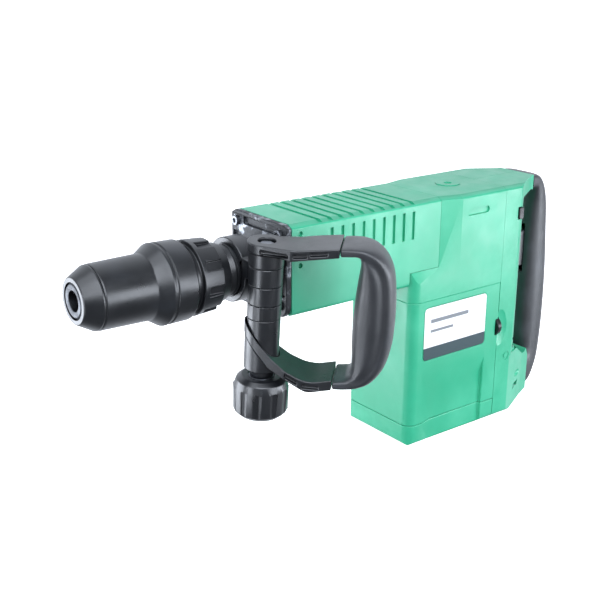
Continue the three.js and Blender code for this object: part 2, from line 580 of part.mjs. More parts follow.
function rearHandle() {
  const plan = outline([
    [REAR_SEAM, -BODY_HALF], [TAPER_START, -BODY_HALF, 8], [541, -25, 16], [620, -21],
    [620, 21], [541, 25, 16], [TAPER_START, BODY_HALF, 8], [REAR_SEAM, BODY_HALF],
  ]);
  const lowPlan = outline([
    [REAR_SEAM, -BODY_HALF], [TAPER_START - 2.5, -BODY_HALF, 8], [541, -31, 16], [562, -23.5], [620, -21],
    [620, 21], [562, 23.5], [541, 31, 16], [TAPER_START - 2.5, BODY_HALF, 8], [REAR_SEAM, BODY_HALF],
  ]);
  const plans = join(slab('z', lowPlan, -230, ARM_STEP), slab('z', plan, ARM_STEP - 1, 60));
  const outer = cut(both(handleOuter(-60, 60), plans, slab('x', outline([
    [-BODY_HALF, -FOOT_DROP, 6], [BODY_HALF, -FOOT_DROP, 6], ...shoulders(BODY_HALF),
  ]), REAR_SEAM, 620)), handOpening());
  const inner = BODY_HALF - WALL;
  const shell = cut(outer, coverZone(),
    box(REAR_SEAM - 1, BODY_BACK - WALL, -inner, inner, -FOOT_DROP + 10, TOP - 8),
    rod('z', -219, -196, 8.3, { u: 536, sides: 24 }),
    dialPocket());
  const housing = cut(join(shell, handleCore(CORE_HALF)), triggerSlot(), box(574, 585, -8.4, 8.4, -66, -27));
  const buttonPocket = box(494, 502, -60, -45.4, 6, 20);
  piece('rear_housing_left', cut(both(housing, box(400, 700, -60, -0.15, -300, 100)), buttonPocket), GREEN);
  piece('rear_housing_right', both(housing, box(400, 700, 0.15, 60, -300, 100)), GREEN);

  const softPlan = outline([
    [540, -25.5], [556, -24, 20], [GRIP_BACK - 8, -GRIP_HALF, 12], [GRIP_BACK + 1, -9, 8],
    [GRIP_BACK + 1, 9, 8], [GRIP_BACK - 8, GRIP_HALF, 12], [556, 24, 20], [540, 25.5],
  ]);
  const zone = both(coverZone(), coverZone().translate([GAP, 0, 0]));
  piece('rear_grip', cut(both(handleOuter(-30, 30), slab('z', softPlan, -230, 60), zone),
    handOpening(), handleCore(CORE_HALF, GAP), box(545, 566, -8.6, 8.6, -74, -16)), RUBBER);

  const leverShape = outline([
    [549, -66, 2], [567.3, -66], [567.3, -24], [549, -24, 2], [547, -34, 8], [547, -56, 8],
  ], 3);
  piece('trigger', slab('y', leverShape, -8, 8), BLACK);
  piece('switch_body', box(574.2, 584.8, -8.2, 8.2, -65.7, -27.3), CARBON);
  const buttonShape = outline([
    [494.6, 6.6, 2], [501.4, 6.6, 2], [501.4, 19.4, 2], [494.6, 19.4, 2],
  ], 3);
  piece('lock_button', slab('y', buttonShape, -BODY_HALF - 1.8, -BODY_HALF + 1.6), BLACK);
  piece('speed_dial', rod('x', 470.8, 476.4, 11, DIAL), BLACK);
  piece('cord_gland', cut(rod('z', -214.6, -196.5, 8, { u: 536, sides: 20 }),
    rod('z', -220, -200, 4, { u: 536, sides: 12 })), BLACK);
}

// ---------------------------------------------------------------- hammer mechanism

// A gear's outline. Teeth are thinned by the backlash, and one tooth points along +x turned by phase.
function gearShape(teeth, backlash, phase) {
  const pitchR = GEAR_MODULE * teeth / 2;
  const [tip, root] = [pitchR + 0.85 * GEAR_MODULE, pitchR - 1.15 * GEAR_MODULE];
  const halfPitch = Math.PI / teeth;
  const thinning = backlash / 2 / pitchR;
  const points = range(teeth).flatMap((i) => {
    const middle = phase + 2 * halfPitch * i;
    const polar = (r, angle) => new THREE.Vector2(r * Math.cos(angle), r * Math.sin(angle));
    const [foot, crest] = [halfPitch * 0.78 - thinning, halfPitch * 0.26 - thinning / 2];
    return [
      polar(root, middle - foot), polar(tip, middle - crest),
      polar(tip, middle + crest), polar(root, middle + foot),
    ];
  });
  return new THREE.Shape(points);
}

function mechanism() {
  piece('cylinder_tube', turned('x', [
    [204, CYLINDER_R], [204, 27], [357, 27], [357, CYLINDER_R],
  ]), STEEL);
  piece('impact_bolt', turned('x', [
    [112, 0], [112, 8.4], [116, 8.4], [120, 11.8], [140, 11.8], [143, 8.5], [158, 8.5], [158, 0],
  ], 20), STEEL);
  piece('striker', turned('x', [
    [186, 0], [186, 9], [224, 9], [229, 22], [256, 22], [256, 0],
  ], 24), STEEL);

  const pinHole = rod('z', -30, 30, 4.3, { u: PISTON_PIN_X, sides: 20 });
  piece('piston', cut(rod('x', 290, 334, 22), box(306, 335, -30, 30, -6, 6), pinHole), ALLOY);
  piece('piston_pin', rod('z', -19, 19, 4, { u: PISTON_PIN_X, sides: 20 }), STEEL);

  const pinX = CRANK_X + CRANK_THROW;
  const rodShape = join(box(PISTON_PIN_X + 33, pinX - 6, -4.5, 4.5, -4.5, 4.5),
    rod('z', -5, 5, 9.5, { u: pinX, sides: 32 }));
  piece('connecting_rod', cut(rodShape, rod('z', -6, 6, 5.3, { u: pinX, sides: 24 })), STEEL);

  const gear = slab('z', gearShape(CRANK_TEETH, 0.9, 0), -52, -40).translate([CRANK_X, 0, 0]);
  const crankShaft = rod('z', -69, -51, 8, { u: CRANK_X, sides: 28 });
  piece('crank_gear', join(gear, crankShaft, rod('z', -41, 6.5, 5, { u: pinX, sides: 24 })), STEEL);
  piece('crank_bearing', bearing(CRANK_X, 8.3, 18, -66, -57), STEEL);
  gearHousing();
}

function bearing(x, innerR, outerR, low, high) {
  return turned('z', [[low, innerR], [low, outerR], [high, outerR], [high, innerR]], 24).translate([x, 0, 0]);
}

// The alloy casting that holds the cylinder, the crank's bearing and the motor's upper bearing.
function gearHousing() {
  const deck = box(349, 470, -43.5, 43.5, -67, -56);
  const cheeks = [-1, 1].map((side) => box(349, 366, side * 39.2, side * 43.5, -57, -44.5));
  const posts = [-1, 1].map((side) => box(349, 356.4, side * 38.6, side * 39.4, -57, -33));
  const wall = box(349, 356.4, -38.6, 38.6, -36, 36);
  const sills = [-1, 1].map((side) => box(349, 350.4, side * 20, side * 39.4, -57, -33));
  piece('gear_housing', cut(join(deck, ...cheeks, ...posts, ...sills, wall),
    rod('x', 340, 360, 27.3, { sides: 32 }),
    rod('z', -70, -54, 18.3, { u: CRANK_X }),
    rod('z', -70, -54, 14.3, { u: MOTOR_X }),
    rod('z', -54, -39, GEAR_MODULE * CRANK_TEETH / 2 + 3, { u: CRANK_X, sides: 32 }),
  ), ALLOY);
}

// ---------------------------------------------------------------- motor

function motor() {
  const at = { u: MOTOR_X, sides: 20 };
  const halfPitch = Math.PI / PINION_TEETH;
  const pinion = slab('z', gearShape(PINION_TEETH, 0.9, halfPitch), -53, -39).translate([MOTOR_X, 0, 0]);
  piece('armature', join(rod('z', -204, -52, 4.4, at), pinion,
    rod('z', -152, -96, 22, { u: MOTOR_X, sides: 28 })), STEEL);
  piece('commutator', cut(rod('z', -184, -162, 14, at), rod('z', -190, -150, 4.7, at)), COPPER);
  const blades = range(9).map((i) => solid(new THREE.BoxGeometry(24, 2, 9)
    .translate(24, 0, -77.5).rotateZ(2 * Math.PI * i / 9)).translate([MOTOR_X, 0, 0]));
  piece('fan', cut(join(rod('z', -84, -81.5, 36, at), rod('z', -84, -73, 13, at), ...blades),
    rod('z', -90, -60, 4.7, at)), BLACK);
  piece('stator', cut(rod('z', -152, -96, 37.5, { u: MOTOR_X, sides: 28 }),
    rod('z', -160, -90, 23.2, { u: MOTOR_X, sides: 28 })), COPPER);
  piece('upper_bearing', bearing(MOTOR_X, 4.7, 14, -66, -57), STEEL);
  piece('lower_bearing', bearing(MOTOR_X, 4.7, 13, -203, -194), STEEL);
  for (const [name, side] of [['brush_left', -1], ['brush_right', 1]]) {
    piece(name, box(MOTOR_X - 4, MOTOR_X + 4, side * 14.6, side * 32, -179, -167), CARBON);
  }
}

chuck();
front();
sideHandlePieces();
barrelCover();
gearCover();
motorHousing();
rearHandle();
mechanism();
motor();

export default hammer;
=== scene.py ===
"""Looks of the demolition hammer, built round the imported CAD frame.

Lengths in the tables are millimetres in the tool's own frame: x behind the nose, y to the
right-hand side, z above the tool's axis. TOOL, COLUMN and D_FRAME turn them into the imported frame's metres.
"""

import json
import math

import bmesh
import bpy
from mathutils import Matrix, Vector

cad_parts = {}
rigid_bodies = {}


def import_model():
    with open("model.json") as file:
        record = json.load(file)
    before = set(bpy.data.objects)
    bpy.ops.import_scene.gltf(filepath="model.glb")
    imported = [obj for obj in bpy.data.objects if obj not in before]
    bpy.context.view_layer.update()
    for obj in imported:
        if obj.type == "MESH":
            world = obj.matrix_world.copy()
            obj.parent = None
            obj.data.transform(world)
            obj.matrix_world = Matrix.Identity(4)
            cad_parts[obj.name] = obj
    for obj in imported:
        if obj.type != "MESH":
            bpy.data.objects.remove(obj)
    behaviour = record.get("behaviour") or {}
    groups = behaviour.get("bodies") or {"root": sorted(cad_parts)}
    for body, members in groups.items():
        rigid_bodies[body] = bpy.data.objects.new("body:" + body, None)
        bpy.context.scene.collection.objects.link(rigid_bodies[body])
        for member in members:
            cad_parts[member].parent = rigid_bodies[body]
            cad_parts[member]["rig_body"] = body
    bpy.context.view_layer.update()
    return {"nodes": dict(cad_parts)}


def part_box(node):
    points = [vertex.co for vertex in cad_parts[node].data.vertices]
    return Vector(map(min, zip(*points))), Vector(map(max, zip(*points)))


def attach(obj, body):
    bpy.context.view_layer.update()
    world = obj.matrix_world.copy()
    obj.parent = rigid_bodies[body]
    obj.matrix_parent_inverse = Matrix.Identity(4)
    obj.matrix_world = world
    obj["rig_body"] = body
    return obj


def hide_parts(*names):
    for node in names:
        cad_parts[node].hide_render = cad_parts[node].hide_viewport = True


MM = 0.001
NOSE = Vector((-0.409, 0.0, 0.220))
COLUMN_PLACE = (163, -49, 0)
SWIVEL = math.radians(4.5)
D_SWING = math.radians(45)
WELD = 0.002 * MM
SHARP = 32
GRIP_SHARP = 50
LEFT, RIGHT = -1, 1

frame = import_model()
TOOL = Matrix.Translation(NOSE) @ Matrix.Scale(MM, 4)
COLUMN = TOOL @ Matrix.Rotation(SWIVEL, 4, "X") @ Matrix.Translation(COLUMN_PLACE)
D_FRAME = COLUMN @ Matrix.Rotation(-D_SWING, 4, "Z")


# ---------------------------------------------------------------- materials


def linear(r, g, b):
    """An sRGB colour, 0 to 255, as Blender's linear colour."""
    def channel(c):
        c = c / 255
        return c / 12.92 if c <= 0.04045 else ((c + 0.055) / 1.055) ** 2.4
    return (channel(r), channel(g), channel(b), 1.0)


class Shader:
    """A material's node tree, with short calls for the nodes used here."""

    def __init__(self, name):
        self.material = bpy.data.materials.new(name)
        self.material.use_nodes = True
        self.tree = self.material.node_tree
        self.main = self.tree.nodes["Principled BSDF"]
        self.position = self.node("ShaderNodeTexCoord").outputs["Object"]

    def node(self, kind, **values):
        made = self.tree.nodes.new(kind)
        for key, value in values.items():
            setattr(made, key, value)
        return made

    def link(self, source, target):
        self.tree.links.new(source, target)

    def math(self, operation, a, b=None):
        made = self.node("ShaderNodeMath", operation=operation)
        for i, value in enumerate((a, b)):
            if isinstance(value, (int, float)):
                made.inputs[i].default_value = value
            elif value is not None:
                self.link(value, made.inputs[i])
        return made.outputs[0]

    def noise(self, scale, detail=4.0, rough=0.55, stretch=None):
        made = self.node("ShaderNodeTexNoise")
        made.inputs["Scale"].default_value = scale
        made.inputs["Detail"].default_value = detail
        made.inputs["Roughness"].default_value = rough
        source = self.position
        if stretch:
            mapping = self.node("ShaderNodeMapping")
            mapping.inputs["Scale"].default_value = stretch
            self.link(source, mapping.inputs["Vector"])
            source = mapping.outputs[0]
        self.link(source, made.inputs["Vector"])
        return made.outputs["Fac"]

    def cells(self, scale):
        made = self.node("ShaderNodeTexVoronoi")
        made.inputs["Scale"].default_value = scale
        self.link(self.position, made.inputs["Vector"])
        return made.outputs["Distance"]

    def ramp(self, factor, *stops):
        made = self.node("ShaderNodeValToRGB")
        elements = made.color_ramp.elements
        while len(elements) < len(stops):
            elements.new(0.5)
        for element, (at, colour) in zip(elements, stops):
            element.position, element.color = at, colour
        self.link(factor, made.inputs[0])
        return made.outputs["Color"]

    def spread(self, factor, low, high, start=0.3, end=0.7):
        """factor between start and end, spread over low to high."""
        made = self.node("ShaderNodeMapRange")
        for socket, value in (("From Min", start), ("From Max", end), ("To Min", low), ("To Max", high)):
            made.inputs[socket].default_value = value
        self.link(factor, made.inputs["Value"])
        return made.outputs["Result"]

    def mix(self, factor, a, b):
        made = self.node("ShaderNodeMix", data_type="RGBA", blend_type="MIX")
        sockets = [made.inputs[i] for i in (0, 6, 7)]
        for socket, value in zip(sockets, (factor, a, b)):
            if isinstance(value, (int, float, tuple)):
                socket.default_value = value
            else:
                self.link(value, socket)
        return made.outputs[2]

    def edges(self, start=0.52, end=0.60):
        """1 on worn convex edges, 0 elsewhere."""
        pointed = self.node("ShaderNodeNewGeometry").outputs["Pointiness"]
        return self.spread(pointed, 0.0, 1.0, start, end)

    def bump(self, height, strength, distance):
        made = self.node("ShaderNodeBump")
        made.inputs["Strength"].default_value = strength
        made.inputs["Distance"].default_value = distance
        self.link(height, made.inputs["Height"])
        self.link(made.outputs[0], self.main.inputs["Normal"])

    def done(self, colour, roughness=None, **constants):
        """The material, with constants on the shader's sockets: Sheen_Weight sets Sheen Weight."""
        self.link(colour, self.main.inputs["Base Color"])
        if roughness is not None:
            self.link(roughness, self.main.inputs["Roughness"])
        for key, value in constants.items():
            self.main.inputs[key.replace("_", " ")].default_value = value
        return self.material


def moulded(name, colour, shade, light, rough, grain=0.22, wear=0.35, **constants):
    """Moulded plastic: cloudy colour, spark-eroded grain and paler edges."""
    s = Shader(name)
    cloud = s.noise(14.0, 3.0)
    body = s.ramp(cloud, (0.32, shade), (0.52, colour), (0.72, light))
    speck = s.spread(s.noise(900.0, 2.0), 0.0, 0.06, 0.45, 0.75)
    body = s.mix(speck, body, light)
    worn = s.math("MULTIPLY", s.edges(), s.spread(s.noise(120.0), 0.0, wear, 0.4, 0.65))
    body = s.mix(worn, body, light)
    roughness = s.spread(s.noise(45.0, 5.0), rough - 0.05, rough + 0.07)
    height = s.math("ADD", s.noise(2600.0, 2.0, 0.6), s.math("MULTIPLY", s.cells(1500.0), 0.6))
    s.bump(height, grain, 0.00012)
    return s.done(body, roughness, **constants)


def soft(name, colour, shade, light, rough, **constants):
    """Overmoulded rubber: matt, with a fine pebbled skin and a faint bloom."""
    s = Shader(name)
    body = s.ramp(s.noise(22.0, 4.0), (0.30, shade), (0.52, colour), (0.74, light))
    worn = s.math("MULTIPLY", s.edges(), s.spread(s.noise(90.0), 0.0, 0.3, 0.4, 0.65))
    body = s.mix(worn, body, light)
    pebble = s.math("MULTIPLY", s.cells(1100.0), 0.9)
    s.bump(s.math("ADD", pebble, s.noise(3000.0, 2.0)), 0.3, 0.00016)
    return s.done(body, s.spread(s.noise(60.0), rough - 0.05, rough + 0.08), **constants)


def metal(name, colour, dark, rough, along=(1.0, 1.0, 1.0), scratch=0.35):
    """Machined metal: fine turning marks, stains and a roughness that follows them."""
    s = Shader(name)
    marks = s.noise(700.0, 3.0, 0.6, along)
    stain = s.noise(60.0, 5.0, 0.6)
    body = s.ramp(stain, (0.30, dark), (0.60, colour))
    body = s.mix(s.spread(marks, 0.0, 0.25), body, dark)
    roughness = s.math("ADD", s.spread(marks, rough - 0.07, rough + 0.07), s.spread(stain, 0.08, 0.0))
    s.bump(marks, scratch, 0.00006)
    return s.done(body, roughness, Metallic=1.0)


def mottled(name):
    """The front plate's casting: black paint worn through to grey alloy."""
    s = Shader(name)
    patches = s.math("ADD", s.noise(85.0, 6.0, 0.62), s.math("MULTIPLY", s.edges(0.5, 0.58), 0.16))
    bare = s.spread(patches, 0.0, 1.0, 0.60, 0.70)
    paint = s.ramp(s.noise(300.0), (0.35, linear(24, 26, 29)), (0.7, linear(44, 47, 52)))
    alloy = s.ramp(s.noise(420.0, 5.0), (0.3, linear(90, 94, 100)), (0.7, linear(170, 174, 180)))
    s.link(s.math("MULTIPLY", bare, 0.85), s.main.inputs["Metallic"])
    s.bump(s.math("ADD", s.noise(520.0, 6.0, 0.65), s.math("MULTIPLY", bare, -0.35)), 0.55, 0.0004)
    return s.done(s.mix(bare, paint, alloy), s.spread(bare, 0.52, 0.34, 0.0, 1.0))


def label_print(name):
    """A plain generic label: two grey lines on white over a straight dark band."""
    s = Shader(name)
    split = s.node("ShaderNodeSeparateXYZ")
    s.link(s.position, split.inputs[0])
    low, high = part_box("label_plate")
    across = s.math("DIVIDE", s.math("SUBTRACT", split.outputs["X"], low.x), high.x - low.x)
    up = s.math("DIVIDE", s.math("SUBTRACT", split.outputs["Z"], low.z), high.z - low.z)

    def within(value, start, end):
        return s.math("MULTIPLY", s.math("GREATER_THAN", value, start), s.math("LESS_THAN", value, end))

    band_height = 0.24
    lines = ((0.70, 0.77, 0.10, 0.70), (0.52, 0.57, 0.10, 0.46))  # bottom, top, left, right
    colour = s.ramp(s.noise(70.0), (0.3, linear(247, 248, 246)), (0.7, linear(242, 244, 243)))
    for bottom, top, left, right in lines:
        inside = s.math("MULTIPLY", within(up, bottom, top), within(across, left, right))
        colour = s.mix(inside, colour, linear(126, 130, 134))
    colour = s.mix(s.math("LESS_THAN", up, band_height), colour, linear(56, 74, 78))
    s.bump(s.noise(900.0), 0.05, 0.0001)
    return s.done(colour, s.spread(s.noise(40.0), 0.42, 0.5), Specular_IOR_Level=0.35)


GREEN = moulded("green_shell", linear(55, 175, 133), linear(50, 169, 127), linear(72, 187, 146), 0.35,
                grain=0.14, Specular_IOR_Level=0.55)
BLACK = moulded("black_plastic", linear(20, 22, 25), linear(16, 18, 21), linear(40, 43, 48), 0.31,
                grain=0.24, Specular_IOR_Level=1.0)
SLEEVE = moulded("sleeve_polymer", linear(18, 20, 23), linear(15, 17, 20), linear(38, 41, 46), 0.32,
                 grain=0.16, Specular_IOR_Level=0.9)
SOFT = soft("soft_grip", linear(32, 34, 38), linear(28, 30, 34), linear(52, 56, 62), 0.42,
            Specular_IOR_Level=1.0, Sheen_Weight=0.15, Sheen_Roughness=0.4)
SMALL_BLACK = moulded("black_trim", linear(16, 17, 19), linear(13, 14, 16), linear(40, 42, 46), 0.34)
BRIGHT = metal("bright_steel", linear(150, 153, 158), linear(88, 91, 96), 0.28, (8.0, 1.0, 1.0))
WORN = metal("worn_steel", linear(92, 94, 98), linear(44, 46, 49), 0.40, (8.0, 1.0, 1.0), scratch=0.8)
STEEL = metal("steel", linear(160, 164, 170), linear(104, 108, 114), 0.34)
SPRING = metal("spring_steel", linear(128, 131, 138), linear(80, 82, 88), 0.30, (3.0, 3.0, 0.4))
ALLOY = metal("cast_alloy", linear(186, 189, 194), linear(136, 140, 146), 0.46, scratch=0.8)
COPPER = metal("copper", linear(206, 128, 84), linear(150, 84, 52), 0.32, (1.0, 1.0, 6.0))
CARBON = moulded("carbon", linear(44, 44, 46), linear(34, 34, 36), linear(76, 76, 80), 0.62, grain=0.5)
CASTING = mottled("plate_casting")
LABEL = label_print("label_print")

SLOT_MATERIALS = {
    "green_shell": GREEN, "black_plastic": BLACK, "soft_grip": SOFT, "black_metal": BLACK,
    "bright_steel": BRIGHT, "steel": STEEL, "alloy": ALLOY, "copper": COPPER, "label": LABEL,
    "carbon": CARBON,
}


# ---------------------------------------------------------------- mesh helpers


SLOTS = {name: node.data.materials[0].name.split(".")[0] for name, node in frame["nodes"].items()}


def linked(name, data):
    """A new object in the scene."""
    made = bpy.data.objects.new(name, data)
    bpy.context.scene.collection.objects.link(made)
    return made


def add(name, mesh, body, material, stands_for=(), sharp=SHARP):
    """A new piece on a CAD body, standing for the CAD nodes named; edges over sharp degrees stay crisp."""
    piece = linked(name, mesh)
    mesh.materials.clear()
    mesh.materials.append(material)
    for polygon in mesh.polygons:
        polygon.use_smooth = True
    mesh.set_sharp_from_angle(angle=math.radians(sharp))
    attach(piece, body)
    if stands_for:
        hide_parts(*stands_for)
    return piece


def bevelled(piece, width, segments, clamp):
    """Edges over 30 degrees rounded to the width, with flat faces that still shade flat."""
    bevel = piece.modifiers.new("edge", "BEVEL")
    bevel.width = width * MM
    bevel.segments = segments
    bevel.limit_method = "ANGLE"
    bevel.angle_limit = math.radians(30)
    bevel.use_clamp_overlap = clamp
    bevel.miter_outer = "MITER_ARC"
    even = piece.modifiers.new("even", "WEIGHTED_NORMAL")
    even.weight = 100
    even.keep_sharp = True


def refined(node_name, material=None, bevel=0.8, segments=2, cutters=(), clamp=False, merge_flats=True):
    """A CAD node's shape with merged flats, hollows from the cutters and rounded edges."""
    node = frame["nodes"][node_name]
    shape = bmesh.new()
    shape.from_mesh(node.data)
    bmesh.ops.remove_doubles(shape, verts=shape.verts, dist=WELD)
    if merge_flats:
        bmesh.ops.dissolve_limit(shape, angle_limit=math.radians(0.6), verts=shape.verts,
                                 edges=shape.edges, use_dissolve_boundaries=False)
    mesh = bpy.data.meshes.new(node_name + "_shape")
    shape.to_mesh(mesh)
    shape.free()
    if cutters:
        mesh = carved(mesh, cutters)
    slot = SLOTS[node_name]
    piece = add(node_name + "_visual", mesh, node["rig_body"], material or SLOT_MATERIALS[slot],
                [node_name])
    bevelled(piece, bevel, segments, clamp)


def from_bmesh(name, shape, matrix):
    """The shape as a mesh, with its faces turned outward and its points moved by the matrix."""
    bmesh.ops.recalc_face_normals(shape, faces=shape.faces)
    mesh = bpy.data.meshes.new(name)
    shape.to_mesh(mesh)
    shape.free()
    mesh.transform(matrix)
    return mesh


def rounded(points, steps=5):
    """The closed outline [[a, b, radius], ...] with its corners rounded, as plain points."""
    out = []
    count = len(points)
    for i, point in enumerate(points):
        here = Vector(point[:2])
        radius = point[2] if len(point) > 2 else 0
        if not radius:
            out.append(here)
            continue
        before = Vector(points[i - 1][:2]) - here
        after = Vector(points[(i + 1) % count][:2]) - here
        half = before.angle(after) / 2
        reach = min(radius / math.tan(half), before.length * 0.49, after.length * 0.49)
        start, end = here + before.normalized() * reach, here + after.normalized() * reach
        for k in range(steps + 1):
            t = k / steps
            out.append(start * (1 - t) ** 2 + here * 2 * t * (1 - t) + end * t ** 2)
    return out


def loft_mesh(name, rings, matrix):
    """A closed skin through equal rings of points, with flat ends."""
    shape = bmesh.new()
    made = [[shape.verts.new(p) for p in ring] for ring in rings]
    count = len(made[0])
    for a, b in zip(made, made[1:]):
        for i in range(count):
            j = (i + 1) % count
            shape.faces.new((a[i], a[j], b[j], b[i]))
    shape.faces.new(list(reversed(made[0])))
    shape.faces.new(made[-1])
    return from_bmesh(name, shape, matrix)


def lathe_mesh(name, profile, matrix, sides=72):
    """A closed profile of [along, radius] turned round the x axis."""
    shape = bmesh.new()
    rings = []
    for k in range(sides):
        angle = 2 * math.pi * k / sides
        c, s = math.cos(angle), math.sin(angle)
        rings.append([shape.verts.new((along, radius * c, radius * s)) for along, radius in profile])
    count = len(profile)
    for k in range(sides):
        a, b = rings[k], rings[(k + 1) % sides]
        for i in range(count):
            j = (i + 1) % count
            shape.faces.new((a[i], a[j], b[j], b[i]))
    return from_bmesh(name, shape, matrix)


def prism_mesh(name, outline, low, high):
    """An outline of (x, z) points in the tool's frame, pushed from y = low to y = high."""
    return loft_mesh(name, [[(x, y, z) for x, z in outline] for y in (low, high)], TOOL)


def spline(values, per_span=6):
    """Catmull-Rom through equal-length tuples of numbers."""
    def between(a, b, c, d, t):
        square = (2 * a - 5 * b + 4 * c - d) * t * t
        cube = (3 * b - a - 3 * c + d) * t ** 3
        return 0.5 * (2 * b + (c - a) * t + square + cube)

    out = []
    last = len(values) - 1
    for i in range(last):
        spans = [values[max(0, min(last, i + k))] for k in (-1, 0, 1, 2)]
        for k in range(per_span):
            out.append([between(*four, k / per_span) for four in zip(*spans)])
    out.append(list(values[-1]))
    return out


def two_rail(name, stations, matrix, sides=40, cap=1.2, rim=11.0, channel_width=4.0):
    """A grip between an outer and an inner line.

    Stations are (xo, zo, xi, zi, half width, squareness, valley): the valley is the depth of the
    channel in both flanks, one rim's width in from the outer line.
    """
    def ring(station, shrink=0.0):
        xo, zo, xi, zi, half, power, valley = station
        outer, inner = Vector((xo, 0, zo)), Vector((xi, 0, zi))
        centre, reach = (outer + inner) / 2, (outer - inner) / 2
        scale = 1 - shrink / reach.length
        side = Vector((0, half - shrink, 0))
        points = []
        for k in range(sides):
            angle = 2 * math.pi * k / sides
            c, s = math.cos(angle), math.sin(angle)
            along = math.copysign(abs(c) ** (2 / power), c)
            across = math.copysign(abs(s) ** (2 / power), s)
            channel = valley * math.exp(-(((1 - along) * reach.length - rim) / channel_width) ** 2)
            across *= 1 - channel / half
            points.append(centre + reach * scale * along + side * across)
        return points

    path = spline(stations)
    rings = [ring(station) for station in path]

    def direction(a, b):
        mid = [sum((p for p in r), Vector()) / sides for r in (a, b)]
        return (mid[1] - mid[0]).normalized()

    start, end = direction(rings[0], rings[1]), direction(rings[-1], rings[-2])
    first = ring(path[0], cap)
    last = ring(path[-1], cap)
    rings[0] = [p + start * cap for p in rings[0]]
    rings[-1] = [p + end * cap for p in rings[-1]]
    return loft_mesh(name, [first] + rings + [last], matrix)


def carved(mesh, cutters):
    """mesh with the cutter meshes taken away."""
    body = linked("carving", mesh)
    tools = []
    for i, cutter in enumerate(cutters):
        tool = linked(f"cutter{i}", cutter)
        modifier = body.modifiers.new("cut", "BOOLEAN")
        modifier.operation = "DIFFERENCE"
        modifier.object = tool
        modifier.solver = "EXACT"
        tools.append(tool)
    bpy.context.view_layer.update()
    result = bpy.data.meshes.new_from_object(body.evaluated_get(bpy.context.evaluated_depsgraph_get()))
    for thing in [body, *tools]:
        bpy.data.objects.remove(thing)
    return result


def ellipsoid_mesh(name, centre, radii):
    """An ellipsoid in the tool's frame."""
    shape = bmesh.new()
    bmesh.ops.create_uvsphere(shape, u_segments=48, v_segments=32, radius=1.0)
    place = Matrix.Translation(centre) @ Matrix.Diagonal((*radii, 1.0))
    bmesh.ops.transform(shape, matrix=place, verts=shape.verts)
    return from_bmesh(name, shape, TOOL)


def box_points(x0, x1, z0, z1, radius=0.0):
    """A rectangle with rounded corners, as plain (x, z) points."""
    return rounded([[x0, z0, radius], [x1, z0, radius], [x1, z1, radius], [x0, z1, radius]], 3)


# ---------------------------------------------------------------- chisel holder


def build_chuck():
    """The dust cap, locking sleeve, angle ring and holder, and the neck behind them."""
    cap = rounded([[0, 16.6], [0, 20.2, 0.8], [1.0, 21.2, 0.8], [14.6, 28.8, 1.2], [16.2, 28.8, 0.5],
                   [16.2, 16.6]], 4)
    add("dust_cap_visual", lathe_mesh("dust_cap", cap, TOOL), "chuck", SLEEVE, ["dust_cap"])
    sleeve = rounded([
        [16.6, 17.6], [16.6, 28.8, 0.5], [18.0, 29.2, 0.6], [66, 30.0, 4], [73.5, 34.6, 4], [77.6, 37.3, 2],
        [79.4, 37.3, 0.6], [80.0, 36.0, 0.5], [82.0, 36.0, 0.5], [82.8, 37.1, 0.6],
        [101.4, 36.8, 0.8], [102.9, 35.4, 0.6], [102.9, 32.2], [88, 32.2], [88, 23], [52, 23], [52, 17.6],
    ], 4)
    add("locking_sleeve_visual", lathe_mesh("locking_sleeve", sleeve, TOOL, sides=96), "sleeve", SLEEVE,
        ["locking_sleeve"])
    refined("angle_ring", SLEEVE, bevel=0.7, segments=3)
    refined("tool_holder", WORN, bevel=0.35)
    refined("neck_tube", BLACK, bevel=0.8)
    inner, outer, width = 24.0, 25.3, 2.2
    for front in (150.5, 156.0):
        ring = rounded([[front, inner], [front, outer, 0.4], [front + width, outer, 0.4],
                        [front + width, inner]], 3)
        add(f"neck_ring_{int(front)}", lathe_mesh("neck_ring", ring, TOOL), "housing", BLACK)


# ---------------------------------------------------------------- side handle


def build_side_handle():
    """The clamp round the neck, its column and knob, and the D-shaped handle."""
    for name, width in (("clamp_band", 0.8), ("column_spacer", 0.5), ("locking_disc", 0.4),
                        ("column_tube", 0.6)):
        refined(name, BLACK, bevel=width)
    refined("handle_top_arm", BLACK, bevel=1.0, segments=3)
    refined("handle_bottom_arm", BLACK, bevel=0.9, segments=3)
    refined("clamp_bolt", bevel=0.5)
    refined("knob_washer", bevel=0.3)
    refined("clamp_knob", BLACK, bevel=0.8, segments=3)
    grip = two_rail("handle_grip", [
        (66.9, 47.0, 66.9, 38.8, 21.3, 5.0, 0),
        (76, 48.0, 75, 39.6, 21.4, 4.6, 0),
        (87, 48.2, 82, 39.2, 21.4, 3.8, 0.5),
        (98, 45.6, 84.2, 34, 21.4, 3.0, 1.2),
        (107, 38.6, 83.8, 24, 21.2, 2.7, 2.4),
        (113.6, 26, 82.6, 12, 20.9, 2.5, 3.0),
        (117, 5, 81.4, -4, 20.7, 2.4, 3.2),
        (118.2, -22, 80.7, -24, 20.6, 2.4, 3.2),
        (117.2, -45, 81, -44, 20.7, 2.4, 3.2),
        (112.6, -65, 82, -60, 20.9, 2.6, 2.4),
        (103.5, -78.5, 82, -71, 21.1, 3.0, 1.0),
        (92, -84.6, 79, -76, 21.3, 3.8, 0.3),
        (80, -86.8, 74.6, -77.8, 21.3, 4.6, 0),
        (67.4, -87.6, 67.4, -79.2, 21.3, 5.0, 0),
    ], D_FRAME, sides=88)
    add("handle_grip_visual", grip, "side_handle", SOFT, ["handle_grip"], GRIP_SHARP)


# ---------------------------------------------------------------- housing


